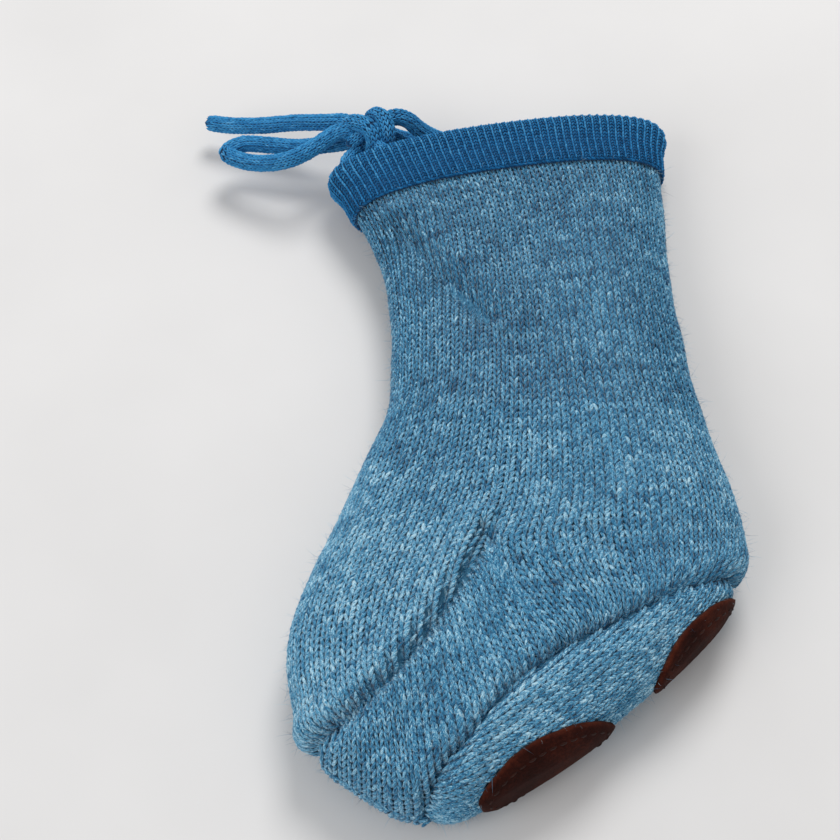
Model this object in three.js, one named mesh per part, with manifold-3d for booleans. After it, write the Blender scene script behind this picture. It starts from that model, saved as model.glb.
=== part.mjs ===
// A knitted baby bootie lying on its side: a wool upper with a separate instep and sole,
// a ribbed drawstring casing round the top, a drawstring tied in a bow, and two leather
// tread patches under the sole. Millimetres, +Z up, +Y from the sole towards the cuff,
// the toe towards -X. The leg turns on the foot at the ankle, and each loop and tail of
// the bow lifts off the surface.
import * as THREE from "three";
import Module from "manifold-3d";
import { mergeVertices } from "three/addons/utils/BufferGeometryUtils.js";

const wasm = await Module();
wasm.setup();

// Driving dimensions.
const WALL = 2.4; // knitted fabric, felted a little
const KERF = 0.4; // gap between neighbouring pieces
const CORD_DIAMETER = 4.4; // tubular knitted drawstring
const INNER_CORD_DIAMETER = 3; // the same cord squeezed inside the casing
const LEATHER = 1.3; // thickness of a tread patch
const TREAD_WEAR = 0.5; // taken off the middle of a patch, which makes it flat
const THREAD = 0.8;
const STITCH_INSET = 1.4; // from a patch's edge to its thread
const SOLE_MIDDLE = 12.6; // height of the sole's edge off the surface
const ANKLE = new THREE.Vector3(30.5, 9, 0); // the axis that the leg turns on, along Z
const ANKLE_RADIUS = 40; // the leg's hem runs round this circle, clear of the foot
const BAND_BELOW = 9.8; // how far the casing reaches down over the leg's top edge
const FOLD_RADIUS = 4.4; // outside of the casing's rolled top
const FOLD_WALL = 1.5; // rib fabric of the casing
const FOLD_CENTRE = 2.7; // how far the cord's channel lies beyond the leg's top edge
const EYELET_RADIUS = 2.7;
const CUFF_LIFT = FOLD_RADIUS - WALL / 2 + 0.1; // the casing's fullness holds the cuff up
const CUFF_LIFT_SHARE = 0.3; // how far down the leg that reaches
const KNOT = new THREE.Vector3(-14.3, 89.4, 16.2);
const KNOT_RADIUS = 6.8;
const TALL = 120; // taller than anything that it cuts

// The flattened tube, from the cuff down to the toe, as stations across it: the front
// edge, the back edge, the thickness and the height of the two edges off the surface.
const STATIONS = [
  { front: [-20.6, 73.4], back: [65, 88], thick: 23, edge: 11.2 },
  { front: [-11.4, 52.6], back: [65, 67], thick: 25, edge: 11.6 },
  { front: [-7, 29], back: [65.5, 40], thick: 27, edge: 12.2 },
  { front: [-7, 6], back: [68, 12], thick: 28, edge: 12.8 },
  { front: [-12, -12], back: [73, -14], thick: 29, edge: 13.2 },
  { front: [-19, -30], back: [77, -37], thick: 30, edge: 13.5 },
  { front: [-26, -46], back: [71, -55], thick: 30, edge: 13.5 },
  { front: [-29.5, -60], back: [56, -71], thick: 29, edge: 13.2 },
  { front: [-29.5, -75], back: [40, -85], thick: 27, edge: 12.6 },
  { front: [-24, -88], back: [25, -95], thick: 23, edge: 11.4 },
  { front: [-13, -98], back: [12, -101.5], thick: 16, edge: 10 },
  { front: [0, -103.5], back: [0, -103.5], thick: 0, edge: 9 },
];
const FULLNESS = 2.3; // exponent of the section: 2 is an ellipse, more is squarer
const TOP_SHARE = 0.54;
const BOTTOM_SHARE = 0.5; // of the thickness; it would dip under the surface, and is flattened

// The seam round the instep panel, and the seam between the foot's sides and the sole.
const INSTEP_SEAM = [
  [-48, -94], [-22, -88], [-8, -78], [1, -67], [8, -56], [14, -45], [16.5, -36],
  [11, -25], [0, -13], [-26, -2],
];
const SOLE_SEAM = [
  [92, -43], [74, -48], [59, -55], [45, -63], [31, -71], [20, -80], [11, -90], [3, -99],
  [-4, -114],
];

// Leather patches on the sole's edge: where, which way the tread faces, length and width.
const PATCHES = [
  { name: "toe_patch", at: [29, -93], towards: [0.5, -0.866], length: 36, width: 18 },
  { name: "heel_patch", at: [64.5, -63], towards: [0.72, -0.694], length: 30, width: 17 },
];

// The bow: each strand's centre line, out from the knot.
const BOW = [
  {
    name: "bow_loop_left",
    path: [
      [-22, 88.6, 19.1], [-29.7, 83.4, 18], [-35.3, 81.6, 16], [-41.7, 82.3, 13.4],
      [-48.3, 84.2, 11.8], [-53.5, 87.7, 11.2], [-49.2, 91.1, 11], [-42.3, 90.8, 11],
      [-34.4, 89.4, 11.6], [-28.3, 88.8, 13], [-22.1, 89, 14],
    ],
  },
  {
    name: "bow_tail_left",
    path: [
      [-20.3, 94.8, 15.9], [-27.2, 95.7, 14.8], [-35, 97.8, 12.2], [-44.4, 98.9, 9.8],
      [-53, 100.3, 8.2], [-60.2, 101.8, 7.6],
    ],
  },
  {
    name: "bow_loop_right",
    path: [
      [-7.2, 92.8, 20.3], [-3.4, 93.4, 18.4], [0, 93, 14.8], [5, 92.6, 11.4], [11, 92.8, 9.2],
      [17, 93, 7.4], [20.6, 92.4, 5.1], [18.2, 91.2, 2.9], [12, 90.8, 2.6], [4, 90.2, 3.8],
      [-2.6, 90.2, 8.4], [-7, 91.2, 12.6],
    ],
  },
  {
    name: "bow_tail_right",
    path: [
      [-9.9, 94.8, 11.3], [-4, 97.2, 5.8], [5, 98.8, 2.6], [16, 99.4, 2.5], [27, 100.4, 2.5],
      [38, 101.4, 2.5], [48, 104, 2.5],
    ],
  },
];

const COLOURS = {
  wool: { color: 0x5a93b8, roughness: 0.95 },
  wool_instep: { color: 0x659dc0, roughness: 0.95 },
  wool_sole: { color: 0x6aa3c6, roughness: 0.95 },
  rib: { color: 0x2f7db8, roughness: 0.9 },
  cord: { color: 0x3b8cc8, roughness: 0.9 },
  leather: { color: 0x4a1d10, roughness: 0.8 },
  thread: { color: 0x5c2c1c, roughness: 0.7 },
};

// Smooth curves through the stations, all of them read at the same share of the way.
const through = (points) => {
  const vectors = points.map(([x, y, z = 0]) => new THREE.Vector3(x, y, z));
  return new THREE.CatmullRomCurve3(vectors, false, "catmullrom", 0.5);
};
const frontEdge = through(STATIONS.map((s) => s.front));
const backEdge = through(STATIONS.map((s) => s.back));
const depths = through(STATIONS.map((s) => [s.thick, s.edge]));

// A point of the knitted surface: share 0 at the cuff and 1 at the toe, angle 0 at the
// back edge, a quarter turn at the top and half a turn at the front edge.
function surfacePoint(share, angle) {
  const front = frontEdge.getPoint(share);
  const back = backEdge.getPoint(share);
  const { x: thick, y: edge } = depths.getPoint(share);
  const rounded = (v) => Math.sign(v) * Math.abs(v) ** (2 / FULLNESS);
  const across = rounded(Math.cos(angle));
  const up = rounded(Math.sin(angle));
  const half = up > 0 ? TOP_SHARE * thick : BOTTOM_SHARE * thick;
  const point = front.add(back).multiplyScalar(0.5);
  point.addScaledVector(back.sub(frontEdge.getPoint(share)), 0.5 * across);
  const lift = CUFF_LIFT * Math.max(0, 1 - share / CUFF_LIFT_SHARE) ** 2;
  point.z = Math.max(lift, edge + half * up);
  return point;
}

// The outward normal there, from its neighbours. At the toe's tip it points out of the toe.
function surfaceNormal(share, angle) {
  const step = 0.004;
  const s = Math.min(share, 1 - 2 * step);
  const along = surfacePoint(s + step, angle).sub(surfacePoint(Math.max(0, s - step), angle));
  const round = surfacePoint(s, angle + 0.05).sub(surfacePoint(s, angle - 0.05));
  return along.cross(round).negate().normalize();
}
const TOE_TIP = new THREE.Vector3(0.1, -1, 0).normalize();

function offsetPoint(share, angle, out) {
  const normal = share === 1 ? TOE_TIP : surfaceNormal(share, angle);
  return surfacePoint(share, angle).addScaledVector(normal, out);
}

function solidFrom(positions, triangles) {
  return new wasm.Manifold(
    new wasm.Mesh({
      numProp: 3,
      vertProperties: new Float32Array(positions),
      triVerts: new Uint32Array(triangles),
    }),
  );
}

function solidOf(geometry) {
  const bare = geometry.clone();
  bare.deleteAttribute("normal");
  bare.deleteAttribute("uv");
  const merged = mergeVertices(bare, 1e-3);
  return solidFrom(merged.attributes.position.array, merged.index.array);
}

// A ring of equal cross-sections: rows[i][j] is point j of section i.
function ringSolid(rows) {
  const count = rows[0].length;
  const positions = rows.flat().flatMap((p) => [p.x, p.y, p.z]);
  const triangles = [];
  for (let i = 0; i < rows.length; i++) {
    const next = (i + 1) % rows.length;
    for (let j = 0; j < count; j++) {
      const k = (j + 1) % count;
      triangles.push(i * count + j, next * count + k, next * count + j);
      triangles.push(i * count + j, i * count + k, next * count + k);
    }
  }
  return solidFrom(positions, triangles);
}

// The knitted shell from the cuff to the closed toe, between two distances from the surface.
function shellSolid(outer, inner, rows = 33, sides = 32) {
  const positions = [];
  const triangles = [];
  const at = (layer, i, j) => {
    const inLayer = i === rows ? rows * sides : i * sides + (j % sides);
    return layer * (rows * sides + 1) + inLayer;
  };
  for (const out of [outer, inner]) {
    for (let i = 0; i < rows; i++) {
      for (let j = 0; j < sides; j++) {
        positions.push(...offsetPoint(i / rows, (j / sides) * 2 * Math.PI, out).toArray());
      }
    }
    positions.push(...offsetPoint(1, 0, out).toArray());
  }
  const quad = (a, b, c, d) => {
    if (b !== c) triangles.push(a, c, b);
    if (a !== d) triangles.push(a, d, c);
  };
  for (let j = 0; j < sides; j++) {
    quad(at(0, 0, j), at(0, 0, j + 1), at(1, 0, j + 1), at(1, 0, j));
    for (let i = 0; i < rows; i++) {
      const next = i + 1;
      quad(at(0, i, j), at(0, next, j), at(0, next, j + 1), at(0, i, j + 1));
      quad(at(1, i, j + 1), at(1, next, j + 1), at(1, next, j), at(1, i, j));
    }
  }
  return solidFrom(positions, triangles);
}

// A tall wall of even thickness over a smooth line on the surface, to cut with.
function wallOver(points, width) {
  const line = through(points);
  const steps = points.length * 3;
  const sides = [[], []];
  for (let i = 0; i <= steps; i++) {
    const p = line.getPoint(i / steps);
    const t = line.getTangent(i / steps);
    [1, -1].forEach((side, k) => {
      const half = (side * width) / 2;
      sides[k].push(new THREE.Vector2(p.x - half * t.y, p.y + half * t.x));
    });
  }
  const outline = new THREE.Shape([...sides[0], ...sides[1].reverse()]);
  const wall = new THREE.ExtrudeGeometry(outline, { depth: TALL, bevelEnabled: false });
  return solidOf(wall.translate(0, 0, -TALL / 2));
}

function ankleDrum(radius) {
  const drum = new THREE.CylinderGeometry(radius, radius, TALL, 40).rotateX(Math.PI / 2);
  return solidOf(drum.translate(ANKLE.x, ANKLE.y, 0));
}

// Everything on the cuff's side (1) or the toe's side (-1) of the ankle.
function halfSpace(side) {
  const block = new THREE.BoxGeometry(4 * TALL, 4 * TALL, TALL);
  return solidOf(block.translate(0, ANKLE.y + side * 2 * TALL, 0));
}

const middle = (solid) => {
  const { min, max } = solid.boundingBox();
  return new THREE.Vector3((min[0] + max[0]) / 2, (min[1] + max[1]) / 2, (min[2] + max[2]) / 2);
};
const largest = (solids) => solids.reduce((a, b) => (a.volume() > b.volume() ? a : b));

function meshOf(name, solid, look) {
  const { numProp, vertProperties, triVerts } = solid.getMesh();
  const geometry = new THREE.BufferGeometry();
  const xyz = new Float32Array((vertProperties.length / numProp) * 3);
  for (let i = 0; i < xyz.length / 3; i++) {
    xyz.set(vertProperties.subarray(i * numProp, i * numProp + 3), i * 3);
  }
  geometry.setAttribute("position", new THREE.BufferAttribute(xyz, 3));
  geometry.setIndex(new THREE.BufferAttribute(new Uint32Array(triVerts), 1));
  geometry.computeVertexNormals();
  const mesh = new THREE.Mesh(geometry, new THREE.MeshStandardMaterial(COLOURS[look]));
  mesh.name = name;
  return mesh;
}

// The leg and the foot, parted by the circle round the ankle.
function knittedPieces() {
  const shell = shellSolid(0, -WALL);
  const leg = shell.intersect(halfSpace(1)).subtract(ankleDrum(ANKLE_RADIUS + KERF));
  const foot = shell.intersect(halfSpace(-1).add(ankleDrum(ANKLE_RADIUS)));
  const cut = foot.subtract(wallOver(INSTEP_SEAM, KERF)).subtract(wallOver(SOLE_SEAM, KERF));
  const bits = cut.decompose().filter((b) => b.volume() > 50);
  const instep = bits.reduce((a, b) => (middle(a).x < middle(b).x ? a : b));
  const rest = bits.filter((b) => b !== instep);
  const sides = rest.reduce((a, b) => (a.boundingBox().max[1] > b.boundingBox().max[1] ? a : b));
  const sole = rest.find((b) => b !== sides);
  return [
    meshOf("leg_knit", largest(leg.decompose()), "wool"),
    meshOf("heel_and_side_knit", sides, "wool"),
    meshOf("instep_knit", instep, "wool_instep"),
    meshOf("sole_knit", sole, "wool_sole"),
  ];
}

// The cuff's frame at an angle round the mouth: out of the mouth, and out of the fabric.
function cuffFrame(angle) {
  const at = surfacePoint(0, angle);
  const normal = surfaceNormal(0, angle);
  const out = surfacePoint(0, angle).sub(surfacePoint(0.02, angle)).normalize();
  return { at, normal, out };
}
const cuffPoint = ({ at, normal, out }, n, d) =>
  at.clone().addScaledVector(normal, n).addScaledVector(out, d);

// The casing: rib fabric folded over the leg's top edge, with the cord's channel in the fold.
function casing(sides = 40, arcSteps = 6) {
  const middleOfWall = -WALL / 2;
  const rows = [];
  for (let j = 0; j < sides; j++) {
    const frame = cuffFrame((j / sides) * 2 * Math.PI);
    const ring = [];
    const arc = (radius, from, to) => {
      for (let k = 0; k <= arcSteps; k++) {
        const turn = from + ((to - from) * k) / arcSteps;
        ring.push([middleOfWall + radius * Math.cos(turn), FOLD_CENTRE + radius * Math.sin(turn)]);
      }
    };
    const lip = WALL / 2 + KERF; // the folded fabric's inner face, where it holds the leg's edge
    ring.push([middleOfWall + lip, -BAND_BELOW]);
    ring.push([middleOfWall + lip + FOLD_WALL, -BAND_BELOW]);
    arc(FOLD_RADIUS, -0.3, Math.PI + 0.3);
    ring.push([middleOfWall - lip - FOLD_WALL, -BAND_BELOW]);
    ring.push([middleOfWall - lip, -BAND_BELOW]);
    ring.push([middleOfWall - lip, 0.4]);
    arc(FOLD_RADIUS - FOLD_WALL, Math.PI + 0.3, -0.3);
    ring.push([middleOfWall + lip, 0.4]);
    rows.push(ring.map(([n, d]) => cuffPoint(frame, n, d)));
  }
  return ringSolid(rows);
}

function tube(points, diameter, sides = 8, steps = points.length * 2) {
  const path = new THREE.CatmullRomCurve3(points, false, "centripetal");
  const section = new THREE.Shape();
  section.absarc(0, 0, diameter / 2, 0, 2 * Math.PI, false);
  const outline = new THREE.Shape(section.getSpacedPoints(sides).slice(0, -1));
  return solidOf(new THREE.ExtrudeGeometry(outline, { steps, extrudePath: path, bevelEnabled: false }));
}

// The drawstring's two eyelets in the fold, as angles round the mouth, at the front.
const EYELETS = [2.75, 2.3];
const inFold = (angle, d) => cuffPoint(cuffFrame(angle), -WALL / 2, d);
const knotSide = (from) => KNOT.clone().add(from.clone().sub(KNOT).setLength(KNOT_RADIUS + KERF));

// Its run: out of the knot, in at one eyelet, round inside the fold, and back to the knot.
function innerCordPath() {
  const [first, second] = EYELETS;
  const inset = 0.07; // the cord is already inside the fold this far round from an eyelet
  const turn = 2 * Math.PI - (first - second) - 2 * inset;
  const steps = 30;
  const run = [];
  for (let i = 0; i <= steps; i++) {
    run.push(inFold(first + inset + (turn * i) / steps, FOLD_CENTRE));
  }
  const outside = FOLD_CENTRE + FOLD_RADIUS + 0.6;
  const [start, end] = EYELETS.map((angle) => inFold(angle, outside));
  return [knotSide(start), start, ...run, end, knotSide(end)];
}
function eyeletCutter(angle) {
  const drill = new THREE.CylinderGeometry(EYELET_RADIUS, EYELET_RADIUS, 10, 12);
  const { out } = cuffFrame(angle);
  drill.applyQuaternion(new THREE.Quaternion().setFromUnitVectors(new THREE.Vector3(0, 1, 0), out));
  return solidOf(drill.translate(...inFold(angle, FOLD_CENTRE + 5).toArray()));
}

const root = new THREE.Group();
const knitted = knittedPieces();
root.add(...knitted);
const bored = EYELETS.reduce((solid, angle) => solid.subtract(eyeletCutter(angle)), casing());
root.add(meshOf("cuff_casing", bored, "rib"));
root.add(meshOf("drawstring_in_casing", tube(innerCordPath(), INNER_CORD_DIAMETER), "cord"));
for (const { name, path } of BOW) {
  const points = path.map((p) => new THREE.Vector3(...p));
  root.add(meshOf(name, tube(points, CORD_DIAMETER), "cord"));
}
const knot = new THREE.SphereGeometry(KNOT_RADIUS, 20, 14).translate(...KNOT.toArray());
root.add(meshOf("bow_knot", solidOf(knot), "cord"));

// An oval prism square to the sole, smaller than the patch by an inset.
function ovalCutter({ at, towards, length, width }, inset) {
  const oval = new THREE.Shape();
  oval.absellipse(0, 0, length / 2 - inset, width / 2 - inset, 0, 2 * Math.PI, false, 0);
  const depth = 26;
  const cutter = new THREE.ExtrudeGeometry(oval, { depth, bevelEnabled: false, curveSegments: 14 });
  const out = new THREE.Vector3(...towards, 0).normalize();
  const up = new THREE.Vector3(0, 0, 1);
  const turn = new THREE.Matrix4().makeBasis(new THREE.Vector3().crossVectors(up, out), up, out);
  turn.setPosition(at[0], at[1], SOLE_MIDDLE);
  return solidOf(cutter.translate(0, 0, -depth / 2).applyMatrix4(turn));
}

// The patch's tread is worn flat, so that the bootie can stand on it.
function wornFlat(solid, { towards }) {
  const out = new THREE.Vector3(...towards, 0).normalize();
  const { numProp, vertProperties } = solid.getMesh();
  let reach = -Infinity;
  for (let i = 0; i < vertProperties.length; i += numProp) {
    reach = Math.max(reach, vertProperties[i] * out.x + vertProperties[i + 1] * out.y);
  }
  const face = reach - TREAD_WEAR;
  const block = new THREE.BoxGeometry(TALL, 4 * TALL, TALL).translate(TALL / 2 + face, 0, 0);
  return solid.subtract(solidOf(block.rotateZ(Math.atan2(out.y, out.x))));
}

// Leather of even thickness over the sole's edge, cut to an oval, and the thread sewn round it.
const leatherLayer = shellSolid(KERF + LEATHER, KERF);
const threadBase = 2 * KERF + LEATHER;
const threadLayer = shellSolid(threadBase + THREAD, threadBase);
for (const patch of PATCHES) {
  const leather = largest(leatherLayer.intersect(ovalCutter(patch, 0)).decompose());
  root.add(meshOf(patch.name, wornFlat(leather, patch), "leather"));
  const [outer, inner] = [STITCH_INSET, STITCH_INSET + THREAD].map((inset) => ovalCutter(patch, inset));
  const thread = largest(threadLayer.intersect(outer.subtract(inner)).decompose());
  root.add(meshOf(patch.name + "_thread", thread, "thread"));
}

// The origin is under the middle of the bootie itself, without the drawstring.
const bootie = new THREE.Box3();
for (const mesh of root.children) {
  if (!/bow|drawstring/.test(mesh.name)) bootie.expandByObject(mesh);
}
const centre = bootie.getCenter(new THREE.Vector3());
root.position.set(-centre.x, -centre.y, -bootie.min.z);

export default root;
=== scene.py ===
"""A knitted baby bootie lying on its side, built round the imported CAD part.

The wool is a felted shell with every stitch laid on it as two slanting legs of yarn, so
that the wales, the seams between the panels and the ribs of the casing are all geometry.
Lengths are millimetres in the bootie's own plan until place() moves them to the frame.
"""

import math

import bpy
import numpy as np
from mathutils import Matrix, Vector
from mathutils.bvhtree import BVHTree
from mathutils.kdtree import KDTree


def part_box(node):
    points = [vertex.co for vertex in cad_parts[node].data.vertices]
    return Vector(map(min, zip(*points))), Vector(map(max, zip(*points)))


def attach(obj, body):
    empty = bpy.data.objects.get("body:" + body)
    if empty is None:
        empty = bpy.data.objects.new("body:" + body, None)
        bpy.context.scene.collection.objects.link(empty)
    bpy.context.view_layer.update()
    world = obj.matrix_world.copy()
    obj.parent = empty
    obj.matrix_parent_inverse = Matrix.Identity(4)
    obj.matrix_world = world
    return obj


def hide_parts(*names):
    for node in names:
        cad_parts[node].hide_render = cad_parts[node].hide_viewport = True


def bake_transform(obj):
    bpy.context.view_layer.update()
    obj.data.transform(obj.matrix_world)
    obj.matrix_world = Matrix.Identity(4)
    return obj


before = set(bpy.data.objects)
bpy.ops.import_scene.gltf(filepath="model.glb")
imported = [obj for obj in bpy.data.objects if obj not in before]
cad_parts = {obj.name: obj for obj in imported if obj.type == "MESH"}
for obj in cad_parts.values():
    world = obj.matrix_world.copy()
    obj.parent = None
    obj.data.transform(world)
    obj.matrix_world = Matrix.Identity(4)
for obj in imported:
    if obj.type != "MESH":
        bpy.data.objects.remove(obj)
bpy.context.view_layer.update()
rng = np.random.default_rng(20)

MM = 0.001
KNOT = np.array([-14.3, 89.4, 16.2])
KNOT_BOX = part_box("bow_knot")
SHIFT = 1000 * (np.array(KNOT_BOX[0]) + np.array(KNOT_BOX[1])) / 2 - KNOT

# The flattened tube from the cuff to the toe: front edge, back edge, thickness, edge height.
STATIONS = [
    (-20.6, 73.4, 65, 88, 23, 11.2),
    (-11.4, 52.6, 65, 67, 25, 11.6),
    (-7, 29, 65.5, 40, 27, 12.2),
    (-7, 6, 68, 12, 28, 12.8),
    (-12, -12, 73, -14, 29, 13.2),
    (-19, -30, 77, -37, 30, 13.5),
    (-26, -46, 71, -55, 30, 13.5),
    (-29.5, -60, 56, -71, 29, 13.2),
    (-29.5, -75, 40, -85, 27, 12.6),
    (-24, -88, 25, -95, 23, 11.4),
    (-13, -98, 12, -101.5, 16, 10),
    (0, -103.5, 0, -103.5, 0, 9),
]
FULLNESS = 2.3
TOP_SHARE, BOTTOM_SHARE = 0.54, 0.5
CUFF_LIFT, CUFF_LIFT_SHARE = 3.3, 0.3
INSTEP_SEAM = [
    (-48, -94), (-22, -88), (-8, -78), (1, -67), (8, -56), (14, -45), (16.5, -36),
    (11, -25), (0, -13), (-26, -2),
]
CREASE_END = 5.35 / 7  # the seam's crease fades out before the corner
CORNER = (15.0, -42.0)
FOLD = [(-6.0, 54.0), (2.0, 41.5), (10.0, 30.0), (16.5, 22.0)]
SOLE_SEAM = [
    (92, -43), (74, -48), (59, -55), (45, -63), (31, -71), (20, -80), (11, -90), (3, -99),
    (-4, -114),
]
SEAM_MEET = (31, -71)
ON_SOLE, ON_INSTEP = (45.0, -80.0), (-15.0, -50.0)
PATCHES = {
    "toe_patch": {"at": (29, -93), "towards": (0.5, -0.866), "length": 36, "width": 18},
    "heel_patch": {"at": (64.5, -63), "towards": (0.72, -0.694), "length": 30, "width": 17},
}
SOLE_MIDDLE = 12.6
PATCH_OVERLAP = 0.6  # how far the stitches run on under a patch's edge
ROW = 1.7  # from one stitch of a wale to the next
WALES = 42
TABLE_GAP = 0.2

CORD_RADIUS = 2.2
BOW = {
    "bow_loop_left": [
        (-22, 88.6, 19.1), (-29.7, 83.4, 18), (-35.3, 81.6, 16), (-41.7, 82.3, 13.4),
        (-48.3, 84.2, 11.8), (-53.5, 87.7, 11.2), (-49.2, 91.1, 11), (-42.3, 90.8, 11),
        (-34.4, 89.4, 11.6), (-28.3, 88.8, 13), (-22.1, 89, 14),
    ],
    "bow_tail_left": [
        (-20.3, 94.8, 15.9), (-27.2, 95.7, 14.8), (-35, 97.8, 12.2), (-44.4, 98.9, 9.8),
        (-53, 100.3, 8.2), (-60.2, 101.8, 7.6),
    ],
    "bow_loop_right": [
        (-7.2, 92.8, 20.3), (-3.4, 93.4, 18.4), (0, 93, 14.8), (5, 92.6, 11.4), (11, 92.8, 9.2),
        (17, 93, 7.4), (20.6, 92.4, 5.1), (18.2, 91.2, 2.9), (12, 90.8, 2.6), (4, 90.2, 3.8),
        (-2.6, 90.2, 8.4), (-7, 91.2, 12.6),
    ],
    "bow_tail_right": [
        (-9.9, 94.8, 11.3), (-4, 97.2, 5.8), (5, 98.8, 2.6), (16, 99.4, 2.5), (27, 100.4, 2.5),
        (38, 101.4, 2.5), (48, 104, 2.5),
    ],
}
BODY_OF_STRAND = {
    "bow_loop_left": "left_loop",
    "bow_tail_left": "left_tail",
    "bow_loop_right": "right_loop",
    "bow_tail_right": "right_tail",
}


def place(points):
    """Design millimetres to metres in the row frame."""
    return (np.asarray(points, float) + SHIFT) * MM


# ---- camera ----------------------------------------------------------------------------
camera_data = bpy.data.cameras.new("camera")
camera = bpy.data.objects.new("camera", camera_data)
bpy.context.collection.objects.link(camera)
camera_data.lens = 80.0
camera_data.sensor_width = 36
camera_data.clip_start = 0.01
CAMERA_AT = Vector((-0.0235, -0.2449, 0.4106))
CAMERA_TARGET = Vector((-0.0235, 0.0042, 0.012))
camera.location = CAMERA_AT
camera.rotation_euler = (CAMERA_TARGET - CAMERA_AT).to_track_quat("-Z", "Y").to_euler()
bpy.context.scene.camera = camera


# ---- curves and the knitted surface ----------------------------------------------------
def unit(v):
    return v / np.maximum(np.linalg.norm(v, axis=-1, keepdims=True), 1e-12)


def run_along(line):
    """The length walked at each point of a line."""
    return np.concatenate([[0], np.cumsum(np.linalg.norm(np.diff(line, axis=0), axis=1))])


def read_at(at, run, values):
    """The columns of values where the length walked is at."""
    return np.stack([np.interp(at, run, column) for column in values.T], -1)


def hermite(t, here, there, leaving, arriving):
    """A smooth curve from here to there, with its directions at both ends."""
    t2, t3 = t * t, t * t * t
    return (
        (2 * t3 - 3 * t2 + 1) * here
        + (t3 - 2 * t2 + t) * leaving
        + (3 * t2 - 2 * t3) * there
        + (t3 - t2) * arriving
    )


def through(points):
    """A Catmull-Rom curve through the points, read at a share of the way along it."""
    p = np.array(points, float)
    p = np.vstack([2 * p[0] - p[1], p, 2 * p[-1] - p[-2]])
    count = len(p) - 3

    def at(share):
        u = np.clip(np.asarray(share, float), 0, 1) * count
        i = np.minimum(u.astype(int), count - 1)
        w = (u - i)[..., None]
        before, here, there, after = p[i], p[i + 1], p[i + 2], p[i + 3]
        return hermite(w, here, there, 0.5 * (there - before), 0.5 * (after - here))

    return at


front_edge = through([s[0:2] for s in STATIONS])
back_edge = through([s[2:4] for s in STATIONS])
depths = through([s[4:6] for s in STATIONS])


def rounded(v):
    """A sine or cosine made fuller, for a section between an oval and a box."""
    return np.sign(v) * np.abs(v) ** (2 / FULLNESS)


def angle_of(across):
    """The angle on the upper side where the section's share across is that much."""
    a = np.clip(across, -1, 1)
    return np.arccos(np.sign(a) * np.abs(a) ** (FULLNESS / 2))


def surface(share, angle):
    """share 0 is the cuff, 1 the toe; angle 0 is the back edge and pi / 2 the top."""
    share, angle = np.broadcast_arrays(np.asarray(share, float), np.asarray(angle, float))
    front, back, depth = front_edge(share), back_edge(share), depths(share)
    across, up = rounded(np.cos(angle)), rounded(np.sin(angle))
    half = np.where(up > 0, TOP_SHARE, BOTTOM_SHARE) * depth[..., 0]
    plan = (front + back) / 2 + (back - front) / 2 * across[..., None]
    lift = CUFF_LIFT * np.clip(1 - share / CUFF_LIFT_SHARE, 0, None) ** 2
    z = np.maximum(lift, depth[..., 1] + half * up)
    return np.concatenate([plan, z[..., None]], -1)


def normal(share, angle):
    """The plain surface's outward normal, from steps along it and round it."""
    step, turn = 0.004, 0.05
    s = np.minimum(share, 1 - 2 * step)
    along = surface(s + step, angle) - surface(np.maximum(0, s - step), angle)
    around = surface(s, angle + turn) - surface(s, angle - turn)
    return unit(-np.cross(along, around))


def polyline(points, count=260, end=1.0):
    return through(points)(np.linspace(0, end, count))


def distance(xy, line):
    """How far each point is from a line in the plan, positive on the line's left."""
    flat = xy.reshape(-1, 2)
    out = np.empty(len(flat))
    batch = 20000
    a, ab = line[:-1], np.diff(line, axis=0)
    length2 = (ab**2).sum(1)
    for start in range(0, len(flat), batch):
        p = flat[start : start + batch, None, :]
        t = np.clip(((p - a) * ab).sum(-1) / length2, 0, 1)
        gap = p - (a + t[..., None] * ab)
        d2 = (gap**2).sum(-1)
        k = d2.argmin(1)
        rows = np.arange(len(k))
        g = gap[rows, k]
        side = ab[k, 0] * g[:, 1] - ab[k, 1] * g[:, 0]
        out[start : start + batch] = np.sign(side) * np.sqrt(d2[rows, k])
    return out.reshape(xy.shape[:-1])


instep_line = polyline(INSTEP_SEAM)
instep_crease = polyline(INSTEP_SEAM[:8], end=CREASE_END)
sole_line = polyline(SOLE_SEAM)
fold_line = polyline(FOLD)
SOLE_SIGN = np.sign(distance(np.array([ON_SOLE]), sole_line))[0]
INSTEP_SIGN = np.sign(distance(np.array([ON_INSTEP]), instep_line))[0]


def step_up(v, low, high):
    """0 up to low, 1 from high on, and smooth between them."""
    t = np.clip((v - low) / (high - low), 0, 1)
    return t * t * (3 - 2 * t)


def patch_frames(patch):
    """The ways along a patch, up it and out of it."""
    out = unit(np.array([*patch["towards"], 0.0]))
    up = np.array([0.0, 0.0, 1.0])
    return np.cross(up, out), up, out


def under_patch(points):
    """True where a patch covers the stitches."""
    inside = np.zeros(points.shape[:-1], bool)
    for patch in PATCHES.values():
        side, up, out = patch_frames(patch)
        rel = points - np.array([*patch["at"], SOLE_MIDDLE])
        u = (rel @ side) / (patch["length"] / 2 - PATCH_OVERLAP)
        v = (rel @ up) / (patch["width"] / 2 - PATCH_OVERLAP)
        inside |= (u * u + v * v < 1) & (rel @ out > -13)
    return inside


def mound(gap, height, width):
    """A smooth rise, or a dip where the height is negative, that fades with the gap."""
    return height * np.exp(-((gap / width) ** 2))


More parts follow.
